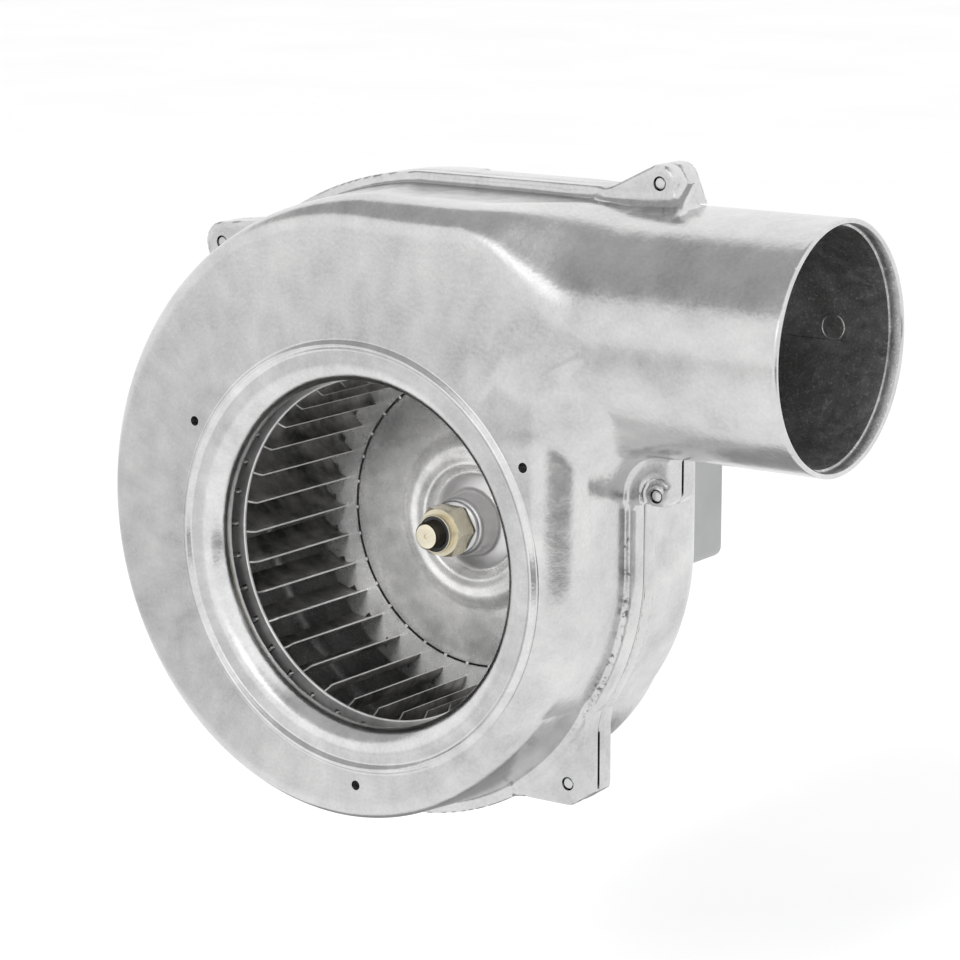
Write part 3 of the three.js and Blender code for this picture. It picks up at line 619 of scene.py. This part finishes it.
# Painted shade: the thread is near black, for the shadow in and round the nut.
SHADED_THREAD = turned_metal("thread_painted_shade", (0.07, 0.065, 0.05), (0.2, 0.18, 0.14), (0.3, 0.45), 0.9)
PAINTED = dull("grey_paint", (0.33, 0.333, 0.335), (0.39, 0.393, 0.395), (0.38, 0.5), 0.2)
PLASTIC = dull("black_plastic", (0.02, 0.021, 0.022), (0.032, 0.033, 0.035), (0.45, 0.6))
GRAPHITE = dull("graphite", (0.03, 0.03, 0.031), (0.05, 0.05, 0.052), (0.5, 0.65), 0.1)
FIBRE = dull("gasket_fibre", (0.5, 0.5, 0.49), (0.62, 0.62, 0.6), (0.6, 0.75))
LAMINATION = dull("lamination_steel", (0.2, 0.21, 0.22), (0.28, 0.29, 0.3), (0.4, 0.55), 0.8)
COPPER = turned_metal("enamelled_copper", (0.5, 0.2, 0.09), (0.62, 0.28, 0.13))
BRASS = turned_metal("brass", (0.7, 0.54, 0.26), (0.8, 0.66, 0.36))
BY_SLOT = {
    "cast": CAST,
    "sheet": SHADED_SHEET,
    "steel": STEEL,
    "plated": PLATED,
    "painted": PAINTED,
    "plastic": PLASTIC,
    "graphite": GRAPHITE,
    "fibre": FIBRE,
    "lamination": LAMINATION,
    "copper": COPPER,
    "brass": BRASS,
}
for part in frame["record"]["subparts"]:
    node = frame["nodes"][part["node"]]
    node.data.materials.clear()
    node.data.materials.append(BY_SLOT[part["material_slot"]])
    smooth(node, 35)


# ---------------------------------------------------------------- casing
def inlet_ring():
    """The raised bead, a flat band and the bellmouth."""
    steps = [k / 8 for k in range(8, -9, -1)]
    bead = [(70.55 + 2.0 * k, -1.4 * math.cos(math.pi / 2 * k) ** 2) for k in steps]
    bell = arc(66.0, 7.3, -8.0, -7.3, 90, 8, 16)
    back = arc(67.0, 8.8, -7.2, -5.8, 0, 90, 10)
    lip = [(58.0, 8.0), (58.4, 8.6), (59.3, 8.8)]
    return lathe("inlet_ring", [(72.55, 2.5), *bead, *bell, *lip, *back], 180)


def along_pipe(piece):
    """Turns a piece made about the shaft so that it lies about the pipe, with its y along x."""
    piece.data.transform(Matrix.Rotation(-math.pi / 2, 4, "Z"))
    piece.data.transform(Matrix.Translation((0, JOINT * MM, PIPE_AXIS * MM)))
    return piece


def pipe_bore():
    """A cutter for the pipe's bore, a little wider at its mouth, which also trims the pipe's end."""
    step = PIPE_END - 4.5
    profile = [(0, 66), (PIPE_BORE, 66), (PIPE_BORE, step), (PIPE_BORE + 0.7, step + 0.3)]
    rim = [(PIPE_BORE + 0.7, PIPE_END - 0.4), (PIPE_BORE + 1.1, PIPE_END), (PIPE_RADIUS - 0.5, PIPE_END)]
    outer = [(PIPE_RADIUS + 0.1, PIPE_END - 0.6), (PIPE_RADIUS + 5, PIPE_END - 0.6)]
    past = [(PIPE_RADIUS + 5, PIPE_END + 5), (0, PIPE_END + 5)]
    return along_pipe(lathe("bore", [*profile, *rim, *outer, *past], 160))


def pin_mark():
    """A thin raised ring on the far side of the pipe's bore."""
    px, pz, radius = PIN_MARK
    around, sides, thick = 48, 8, 0.28
    points, faces = [], []
    for k in range(around):
        turn = 2 * math.pi * k / around
        for j in range(sides):
            spin = 2 * math.pi * j / sides
            reach = radius + thick * math.cos(spin)
            z = pz + reach * math.sin(turn)
            wall = JOINT + math.sqrt(PIPE_BORE**2 - (z - PIPE_AXIS) ** 2)
            points.append(((px + reach * math.cos(turn)) * MM, (wall + thick * math.sin(spin)) * MM, z * MM))
            a, b = k * sides, (k + 1) % around * sides
            faces.append((a + j, b + j, b + (j + 1) % sides, a + (j + 1) % sides))
    return from_faces("pin_mark", points, faces)


def darken_inside(piece):
    """Gives the faces that look into the air space the inside finish, darker as painted shade."""
    piece.data.materials.append(SHADED_INSIDE)
    centres = np.empty(len(piece.data.polygons) * 3)
    piece.data.polygons.foreach_get("center", centres)
    x, y, z = (centres.reshape(-1, 3) / MM).T
    in_pipe = (np.hypot(y - JOINT, z - PIPE_AXIS) < PIPE_BORE + 0.9) & (x > 60) & (x < PIPE_END - 0.3)
    in_bell = (np.hypot(x, z) < 69) & (y < 11)
    inside = ((air_space(x, y, z) < 0.8) | in_pipe) & ~in_bell
    piece.data.polygons.foreach_set("material_index", inside.astype(np.int32))


def front_casing():
    casting = cast_shape("front_casing_detail", front_half, (-127, -3, -125), (PIPE_END + 3, 85, 136))
    combine(casting, [inlet_ring()], "UNION")
    cutters = [
        prism("cutter", circle(INLET_HOLE, INLET_CIRCLE * math.cos(a), INLET_CIRCLE * math.sin(a)), -3, 9)
        for a in map(math.radians, INLET_ANGLES)
    ]
    cutters += [prism("cutter", circle(LUG_HOLE, x, z), 20, 60) for x, z in LUG_HOLES.values()]
    combine(casting, [pipe_bore(), *cutters], "DIFFERENCE")
    combine(casting, [pin_mark()], "UNION")
    stand_for(smooth(casting, 50), "front_casing", "casing", CAST)
    darken_inside(casting)


def outline_points(grow):
    """The casing's outline as points, found along rays from the shaft."""
    points = []
    for k in range(360):
        turn = math.radians(k)
        radius = np.linspace(60, 170, 1101)
        line = scroll(radius * math.cos(turn), radius * math.sin(turn), grow)
        edge = float(np.interp(0.0, line, radius))
        points.append((edge * math.cos(turn), edge * math.sin(turn)))
    return points


def gasket():
    """A flat ring between the casing halves."""
    ring = prism("casing_gasket_detail", outline_points(3.2), JOINT - 0.4, JOINT + 0.4)
    combine(ring, [prism("inside", outline_points(-2.7), JOINT - 2, JOINT + 2), pipe_bore()], "DIFFERENCE")
    stand_for(smooth(ring), "casing_gasket", "casing", FIBRE)


def rear_casing():
    casting = cast_shape("rear_casing_detail", rear_half, (-130, 39, -126), (108, BACK + 16, 136))
    cutters = [prism("cutter", circle(LUG_HOLE, x, z), 20, 60) for x, z in LUG_HOLES.values()]
    around_pipe = [(0, SPLIT - 0.1), (PIPE_RADIUS + 0.5, SPLIT - 0.1), (PIPE_RADIUS + 0.5, 130), (0, 130)]
    cutters.append(along_pipe(lathe("around_pipe", around_pipe, 160)))
    combine(casting, [pipe_bore(), *cutters], "DIFFERENCE")
    stand_for(smooth(casting, 50), "rear_casing", "casing", CAST)
    darken_inside(casting)


front_casing()
rear_casing()
gasket()


# ---------------------------------------------------------------- impeller
def blade(turn):
    """One curved blade, cut back at the front of its inner edge, turned to its place."""
    steps = 8
    half = 0.3
    found = bmesh.new()
    loops = []
    for k in range(steps + 1):
        share = k / steps
        radius = BLADE_INNER + BLADE_DEPTH * share
        swing = BLADE_SWING * share**2
        front = 15.2 + 2.6 * max(0.0, 1 - share * 4)
        loops.append([
            found.verts.new((radius * MM, y * MM, (swing + side) * MM))
            for y, side in ((front, -half), (front, half), (68, half), (68, -half))
        ])
    for a, b in zip(loops, loops[1:]):
        for i in range(4):
            j = (i + 1) % 4
            found.faces.new((a[i], a[j], b[j], b[i]))
    # The inner edge face takes the second slot, the painted highlight.
    found.faces.new(loops[0]).material_index = 1
    found.faces.new(loops[-1])
    bmesh.ops.recalc_face_normals(found, faces=found.faces)
    return turned_by(from_edit("blade", found), turn)


def bar(x, y, z, bevel=0.0):
    """A block between pairs of x, y and z."""
    return prism("bar", [(x[0], z[0]), (x[1], z[0]), (x[1], z[1]), (x[0], z[1])], *y, bevel, 2)


def disc_face(radius):
    """Depth of the disc's front: a broad ridge with a shallow dip along its middle."""
    if radius > 26:
        return 69.5 - 3.2 * math.cos(math.pi / 2 * (radius - 26) / 6) ** 2
    if radius > 20.2:
        return 66.3 + 0.5 * math.sin(math.pi * (radius - 20.2) / 5.8) ** 2
    return 69.5 - 3.2 * math.cos(math.pi / 2 * (20.2 - radius) / 2.8) ** 2


def blade_sheets(turns):
    blades = merge("impeller_blade_sheets", [blade(turn) for turn in turns])
    # The blades in painted shade.
    stand_for(smooth(blades), "impeller_blades", "rotor", SHADED_SHEET)
    # Painted highlight on the blades' inner edges.
    blades.data.materials.append(LIT_EDGE)


def front_ring(turns, mid):
    """The ring at the blades' front, with a slot for each blade's tab."""
    front = lathe("front", [(57.3, 14.3), (57.6, 14), (65.7, 14), (66, 14.3), (66, 15), (57.3, 15)], 136)
    slots = [turned_by(bar((59.8, 63.4), (12, 17), (mid - 1.3, mid + 0.9)), turn) for turn in turns]
    combine(front, [merge("slots", slots)], "DIFFERENCE")
    tabs = [turned_by(bar((60.5, 62.7), (13.2, 15.2), (mid - 0.55, mid + 0.35), 0.3), turn) for turn in turns]
    # The tabs and the ring's inner rim take the painted highlight.
    for tab in tabs:
        tab.data.polygons.foreach_set("material_index", [1] * len(tab.data.polygons))
    for face in front.data.polygons:
        face.material_index = int(math.hypot(face.center.x, face.center.z) < 57.6 * MM)
    ring = merge("impeller_front_ring_detail", [front, *tabs])
    # The front ring in painted shade.
    stand_for(smooth(ring), "impeller_front_ring", "rotor", SHADED_RING_SHEET)
    ring.data.materials.append(LIT_EDGE)


def back_ring(turns, mid):
    """The ring at the blades' back, with a slot for each, and tongues that reach the disc."""
    back = lathe("back", [(51.3, 68), (66, 68), (66, 69), (51.3, 69)], 136)
    slots = [turned_by(bar((59.6, 63.0), (66, 71), (mid - 0.7, mid + 1.2)), turn) for turn in turns]
    combine(back, [merge("slots", slots)], "DIFFERENCE")
    tongues = [turned_by(bar((50.3, 55), (68.1, 68.9), (-0.6, 0.6), 0.2), turn) for turn in turns]
    ring = merge("impeller_back_ring_detail", [back, *tongues])
    stand_for(smooth(ring), "impeller_blades", "rotor", DISC)


def impeller_disc():
    face = [(32 - 0.6 * k, disc_face(32 - 0.6 * k)) for k in range(25)]
    face += [(17.4, 68.9), (10.6, 68.9)]
    rim = [(10.6, 70.2), (30, 70.9), (50.9, 70.9), (50.9, 69.7), (50.7, 69.5)]
    disc = lathe("impeller_disc_detail", face + rim, 192)
    stand_for(smooth(disc, 60), "impeller_disc", "rotor", DISC)


def impeller():
    turns = [math.radians(FIRST_BLADE) + 2 * math.pi * k / BLADES for k in range(BLADES)]
    mid = BLADE_SWING * (TAB_PLACE / BLADE_DEPTH) ** 2  # how far a blade has swung where its tabs are
    blade_sheets(turns)
    front_ring(turns, mid)
    back_ring(turns, mid)
    impeller_disc()


def hub_stack():
    """The hub, washer and locking nut, and the nut's plastic insert."""
    hub = [(6.3, 58), *arc(8.6, 59.8, 1.8, -1.8, 90, 0, 8), (10.4, 66.4), (11.2, 67.6), (12.4, 68.1)]
    hub += [(16.4, 68.1), (17, 68.7), (10.5, 68.8), (10.4, 72.2), (6.3, 72.2)]
    stand_for(smooth(lathe("impeller_hub_detail", hub), 50), "impeller_hub", "rotor", HUB_METAL)

    washer = [(5.1, 56.1), (8.9, 56.1), (9.3, 56.4), (9.3, 57.4), (8.9, 57.7), (5.1, 57.7)]
    stand_for(smooth(lathe("clamp_washer_detail", washer)), "clamp_washer", "rotor", STEEL)

    corner = 8 / math.cos(math.radians(30))
    nut = prism("clamp_nut_detail", circle(corner, steps=6), 47.2, 55.6)
    round_off = [(0, 46.8), (7.6, 46.8), (corner, 48.3), (corner, 54.6), (corner - 1.3, 56), (0, 56)]
    combine(nut, [lathe("round_off", round_off)], "INTERSECT")
    collar = lathe("collar", [(3, 50), (6.6, 50), *arc(6.3, 44.8, 0.3, -0.3, 0, 180, 8), (6.0, 49)])
    combine(nut, [collar], "UNION")
    combine(nut, [lathe("bore", [(0, 40), (5.1, 40), (5.1, 60), (0, 60)])], "DIFFERENCE")
    stand_for(smooth(nut, 35), "clamp_nut", "rotor", PLATED)

    insert = lathe("clamp_nut_insert", [(4.9, 44.9), (5.95, 44.9), (5.95, 48.9), (4.9, 48.9)])
    insert.data.materials.append(PLASTIC)
    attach(smooth(insert), "rotor")


def shaft():
    """The threaded tip, and the plain stretches behind it."""
    around, pitch = 96, 1.5
    rows = [(0.0, 40.5), (0.45, 40.4), (0.75, 39.75), (3.9, 39.7), (4.2, 39.8)]
    heights = [40.3 + 0.125 * k for k in range(139)]
    points, faces = [], []
    for radius, y in rows:
        points += [ring_point(radius, y, 2 * math.pi * k / around) for k in range(around)]
    for y in heights:
        for k in range(around):
            turn = 2 * math.pi * k / around
            wave = abs(((y / pitch + k / around) % 1) - 0.5) * 2
            points.append(ring_point(min(4.8 - 0.55 * wave, 4.25 + (y - 39.9) * 0.8), y, turn))
    back = [(4.8, 58.6), (6, 59.8), (6, 72.5), (7.3, 72.5), (7.5, 72.7), (7.5, 104.5), (6, 104.5), (6, 176.2)]
    for radius, y in [*back, (5.2, 177), (0.0, 177)]:
        points += [ring_point(radius, y, 2 * math.pi * k / around) for k in range(around)]
    for row in range(len(points) // around - 1):
        for k in range(around):
            a, b = row * around + k, row * around + (k + 1) % around
            faces.append((a, b, b + around, a + around))
    piece = smooth(weld(from_faces("motor_shaft_detail", points, faces)), 50)
    stand_for(piece, "motor_shaft", "rotor", PLATED)
    # The thread takes the near-black painted shade.
    piece.data.materials.append(SHADED_THREAD)
    for face in piece.data.polygons:
        on_thread = math.hypot(face.center.x, face.center.z) > 4.05 * MM and face.center.y < 58 * MM
        face.material_index = int(on_thread)


impeller()
hub_stack()
shaft()


# ---------------------------------------------------------------- screws, seal and motor
def pan_screw(place, y, radius, height, drive):
    """A rounded head with a hexagon recess; the head's underside is at y."""
    x, z = place
    dome = arc(radius - height * 0.7, y + height * 0.3, height * 0.7, height * 0.7, 0, 90, 6)
    head = lathe("head", [(0, y), (radius, y), *dome, (0, y + height)], 48)
    recess = prism("recess", circle(drive, steps=6), y + height * 0.4, y + height + 1)
    combine(head, [recess], "DIFFERENCE")
    head.data.transform(Matrix.Translation((x * MM, 0, z * MM)))
    return head


def shank(place, radius, y_from, y_to, pitch=0.7):
    """A threaded rod with a chamfered tip."""
    x, z = place
    around = 24
    steps = int((y_to - y_from) / (pitch / 5))
    points, faces = [], []
    for row in range(steps + 1):
        y = y_from + (y_to - y_from) * row / steps
        for k in range(around):
            wave = abs(((y / pitch + k / around) % 1) - 0.5) * 2
            tip = min(1.0, 0.85 + (y - y_from) * 0.3)
            points.append(ring_point((radius - 0.35 * wave) * tip, y, 2 * math.pi * k / around))
    for row in range(steps):
        for k in range(around):
            a, b = row * around + k, row * around + (k + 1) % around
            faces.append((a, b, b + around, a + around))
    faces.append(tuple(range(around))[::-1])
    faces.append(tuple(steps * around + k for k in range(around)))
    found = from_faces("shank", points, faces)
    found.data.transform(Matrix.Translation((x * MM, 0, z * MM)))
    return found


def screws():
    """The screws of the casing, the tie bolts of the motor and the screws of the seal."""
    for name, place in LUG_HOLES.items():
        node = f"casing_screw_{name}"
        pieces = [pan_screw(place, 49.3, 3.6, 2.6, 1.5), shank(place, 2.0, 35.2, 49.4)]
        stand_for(smooth(merge(node + "_detail", pieces)), node, "casing", STEEL)
    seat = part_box("motor_housing")[1].y / MM - BOLT_SEAT
    for k, place in enumerate(MOTOR_CORNERS):
        node = f"tie_bolt_{k + 1}"
        pieces = [pan_screw(place, seat, 3.4, 2.4, 1.5), shank(place, 2.0, 88, seat + 0.1)]
        stand_for(smooth(merge(node + "_detail", pieces)), node, "casing", STEEL)
    for k in range(3):
        turn = math.radians(90 + 120 * k)
        node = f"seal_screw_{k + 1}"
        place = (17.5 * math.cos(turn), 17.5 * math.sin(turn))
        head = smooth(pan_screw(place, 87.1, 1.8, 1.2, 0.7))
        head.name = node + "_detail"
        stand_for(head, node, "casing", STEEL)


def bevel_rim(piece, y, size):
    """Rounds the edges of a piece that lie at one depth."""
    edit = bmesh.new()
    edit.from_mesh(piece.data)
    rim = [edge for edge in edit.edges if all(abs(v.co.y - y * MM) < 1e-5 for v in edge.verts)]
    bmesh.ops.bevel(edit, geom=rim, offset=size * MM, segments=6, profile=0.5, affect="EDGES")
    edit.to_mesh(piece.data)
    edit.free()


def at_corners(radius, y_from, y_to):
    """Round bars at the motor's four tie bolts."""
    return [prism("bar", circle(radius, x, z), y_from, y_to) for x, z in MOTOR_CORNERS]


def motor_housing():
    """A square can with a window for the terminals and seats for the tie bolts."""
    front, back = (corner.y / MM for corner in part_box("motor_housing"))
    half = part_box("motor_housing")[1].x / MM
    shell = prism("motor_housing_detail", rounded_square(half, 4), front, back)
    bevel_rim(shell, back, 2.2)
    room = prism("room", rounded_square(half - 2, 3), front - 1, back - 5)
    window = bar((-half - 1, -half + 3), (110, 128), (-10, 10))
    holes = at_corners(3.7, back - 3, back + 1) + at_corners(LUG_HOLE, 150, back + 1)
    combine(shell, [room, window, *holes], "DIFFERENCE")
    stand_for(smooth(shell), "motor_housing", "casing", PAINTED)


def motor_shield():
    """The plate at the front of the motor, which holds the front bearing."""
    low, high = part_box("motor_shield")
    front = low.y / MM
    shield = prism("motor_shield_detail", rounded_square(high.x / MM, 4), front, front + 4.4, 0.6)
    combine(shield, [prism("boss", circle(17, steps=64), front + 4, high.y / MM, 0.5, 2)], "UNION")
    seat = prism("seat", circle(14.3, steps=64), 104.5, 120)
    holes = [prism("hole", circle(8.3), 90, 120), seat, *at_corners(LUG_HOLE, 90, 120)]
    combine(shield, holes, "DIFFERENCE")
    stand_for(smooth(shield), "motor_shield", "casing", CAST)


def cooling_wheel():
    """A hub and a plate with ten vanes, in the gap in front of the motor."""
    hub = lathe("hub", [(7.8, 88.6), (10.4, 88.6), (10.8, 89), (10.8, 95.4), (7.8, 95.4)], 96)
    plate = [(8.8, 93.9), (24.7, 93.9), (25, 94.2), (25, 95.2), (24.7, 95.4), (8.8, 95.4)]
    combine(hub, [lathe("plate", plate)], "UNION")
    vanes = [
        turned_by(bar((10, 24.5), (88.6, 94.4), (-0.6, 0.6), 0.25), 2 * math.pi * k / 10) for k in range(10)
    ]
    for vane in vanes:
        combine(hub, [vane], "UNION")
    hub.name = "cooling_wheel_detail"
    stand_for(smooth(hub), "cooling_wheel", "rotor", PLASTIC)


screws()
motor_housing()
motor_shield()
cooling_wheel()


# ---------------------------------------------------------------- studio
def area_light(name, place, target, size, power):
    """A lamp that neither the camera nor the metal sees."""
    light = bpy.data.lights.new(name, "AREA")
    light.shape = "RECTANGLE"
    light.size, light.size_y = size
    light.energy = power
    found = bpy.data.objects.new(name, light)
    bpy.context.scene.collection.objects.link(found)
    found.location = place
    found.rotation_euler = (Vector(target) - Vector(place)).to_track_quat("-Z", "Y").to_euler()
    found.visible_camera = False
    found.visible_glossy = False


def studio():
    """The pale floor, one lamp and the room around them."""
    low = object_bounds()[0]
    corners = [(-1, -1, 0), (1, -1, 0), (1, 1, 0), (-1, 1, 0)]
    floor = from_faces("floor", [(FLOOR_SIDE * x, FLOOR_SIDE * y, z) for x, y, z in corners], [(0, 1, 2, 3)])
    floor.location.z = low.z - FLOOR_DROP
    paint = Finish("floor_paint", 0.0, 0.9)
    paint.link(
        paint.ramp(paint.noise(3), [(0.3, (0.9, 0.9, 0.9)), (0.7, (0.93, 0.93, 0.93))]),
        paint.shader.inputs["Base Color"],
    )
    strength = WHITE
    # Painted shade: each patch darkens the glow that metal sees on the floor.
    for centre, radius, left_over in FLOOR_SHADE_PATCHES:
        away = paint.add("ShaderNodeVectorMath", operation="DISTANCE")
        away.inputs[1].default_value = centre
        paint.link(paint.place, away.inputs[0])
        patch = paint.spread(away.outputs["Value"], left_over, 1, radius * 0.9, radius * 1.1)
        strength = paint.math("MULTIPLY", patch, strength)
    # Painted reflection: metal sees the floor as this glow, with the painted shade patches.
    grey = paint.add("ShaderNodeEmission")
    paint.link(strength, grey.inputs["Strength"])
    seen = paint.add("ShaderNodeLightPath").outputs["Is Glossy Ray"]
    mix = paint.add("ShaderNodeMixShader")
    paint.link(seen, mix.inputs["Fac"])
    paint.link(paint.shader.outputs["BSDF"], mix.inputs[1])
    paint.link(grey.outputs["Emission"], mix.inputs[2])
    paint.link(mix.outputs["Shader"], paint.tree.nodes["Material Output"].inputs["Surface"])
    floor.data.materials.append(paint.material)
    floor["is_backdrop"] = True
    area_light("key", (0.1, -1.2, 0.7), target=(0, 0, 0), size=(0.5, 0.5), power=19)
    surroundings()
    bpy.context.scene.view_settings.view_transform = "Standard"


def surroundings():
    """A white room for the eye. The one that metal reflects is dark high up at the front left."""
    world = bpy.data.worlds.new("studio")
    bpy.context.scene.world = world
    world.use_nodes = True
    n = Nodes(world.node_tree, "Generated")
    white = n.tree.nodes["Background"]
    white.inputs["Color"].default_value = (1, 1, 1, 1)
    white.inputs["Strength"].default_value = WHITE
    split = n.add("ShaderNodeSeparateXYZ")
    n.link(n.place, split.inputs["Vector"])
    height = n.spread(split.outputs["Z"], 0, 1, -1, 1)
    low = [(0.0, 0.5), (0.36, 0.7), (0.44, 0.95)]
    dark = n.grey_ramp(height, [*low, (0.71, 0.95), (0.76, 0.42), (1.0, 0.42)])
    light = n.grey_ramp(height, [*low, (0.62, 0.95), (0.74, 1.02), (1.0, 1.0)])
    behind = n.spread(split.outputs["Y"], 0, 1, 0.15, 0.27)
    on_right = n.spread(split.outputs["X"], 0, 1, 0.0, 0.35)
    room = n.add("ShaderNodeBackground")
    n.link(n.mix(n.math("MAXIMUM", behind, on_right), dark, light), room.inputs["Color"])
    from_box = n.add("ShaderNodeVectorMath", operation="DISTANCE")
    from_box.inputs[1].default_value = SOFTBOX
    n.link(n.place, from_box.inputs[0])
    n.link(n.spread(from_box.outputs["Value"], 2.0, 1.12, 0.08, 0.34), room.inputs["Strength"])
    mix = n.add("ShaderNodeMixShader")
    n.link(n.add("ShaderNodeLightPath").outputs["Is Glossy Ray"], mix.inputs["Fac"])
    n.link(white.outputs["Background"], mix.inputs[1])
    n.link(room.outputs["Background"], mix.inputs[2])
    n.link(mix.outputs["Shader"], n.tree.nodes["World Output"].inputs["Surface"])


def camera():
    around, up = math.radians(CAMERA_AROUND), math.radians(CAMERA_UP)
    back = Vector((math.sin(around) * math.cos(up), -math.cos(around) * math.cos(up), math.sin(up)))
    lens = bpy.data.cameras.new("camera")
    lens.lens = CAMERA_LENS
    lens.sensor_width = 36
    lens.clip_start, lens.clip_end = 0.05, 60
    found = bpy.data.objects.new("camera", lens)
    bpy.context.scene.collection.objects.link(found)
    found.location = CAMERA_PLACE
    found.rotation_euler = back.to_track_quat("Z", "Y").to_euler()
    bpy.context.scene.camera = found


studio()
camera()
